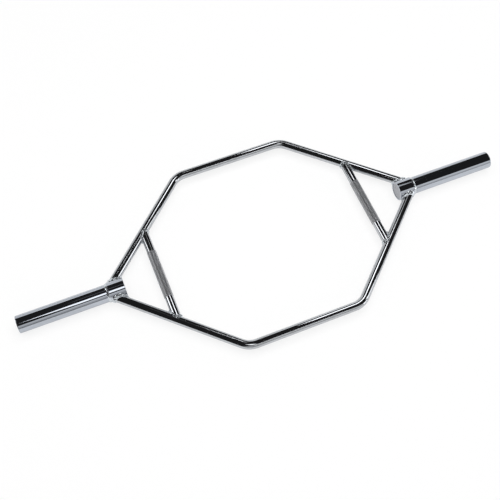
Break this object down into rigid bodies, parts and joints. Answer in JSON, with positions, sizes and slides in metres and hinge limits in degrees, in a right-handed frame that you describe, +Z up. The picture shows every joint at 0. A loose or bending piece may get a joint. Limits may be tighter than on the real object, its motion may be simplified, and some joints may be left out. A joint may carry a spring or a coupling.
{
  "type": "hex trap bar",
  "caption": "Welded hexagon of round chromed bar with a knurled grip across each side and a loading sleeve with stop collar at each end, for lifting plates.",
  "frame": {"origin": "middle of the hexagon, on the common axis of the two sleeves", "axes": "+X along the sleeves to the right, +Y to the rear, +Z up, square to the flat of the hexagon"},
  "size_m": [1.45, 0.6094, 0.056],
  "materials": {
    "chrome_bar": "bright chrome plate",
    "chrome_sleeve": "bright chrome plate on a turned tube",
    "chrome_collar": "bright chrome plate",
    "chrome_end_disc": "satin chrome plate on a faced disc",
    "knurled_chrome": "bright chrome ends, diamond knurl in the middle",
    "chromed_weld": "chrome plate over rippled weld beads"
  },
  "bodies": {
    "root": {"collar_weld_left": "chromed_weld", "collar_weld_right": "chromed_weld", "frame_bar_front": "chrome_bar", "frame_bar_rear": "chrome_bar", "frame_weld_front_left": "chromed_weld", "frame_weld_front_right": "chromed_weld", "frame_weld_rear_left": "chromed_weld", "frame_weld_rear_right": "chromed_weld", "handle_left": "knurled_chrome", "handle_right": "knurled_chrome", "handle_weld_front_left": "chromed_weld", "handle_weld_front_right": "chromed_weld", "handle_weld_rear_left": "chromed_weld", "handle_weld_rear_right": "chromed_weld", "inner_end_plate_left": "chrome_end_disc", "inner_end_plate_right": "chrome_end_disc", "outer_end_plug_left": "chrome_end_disc", "outer_end_plug_right": "chrome_end_disc", "sleeve_tube_left": "chrome_sleeve", "sleeve_tube_right": "chrome_sleeve", "stop_collar_left": "chrome_collar", "stop_collar_right": "chrome_collar"}
  },
  "joints": []
}
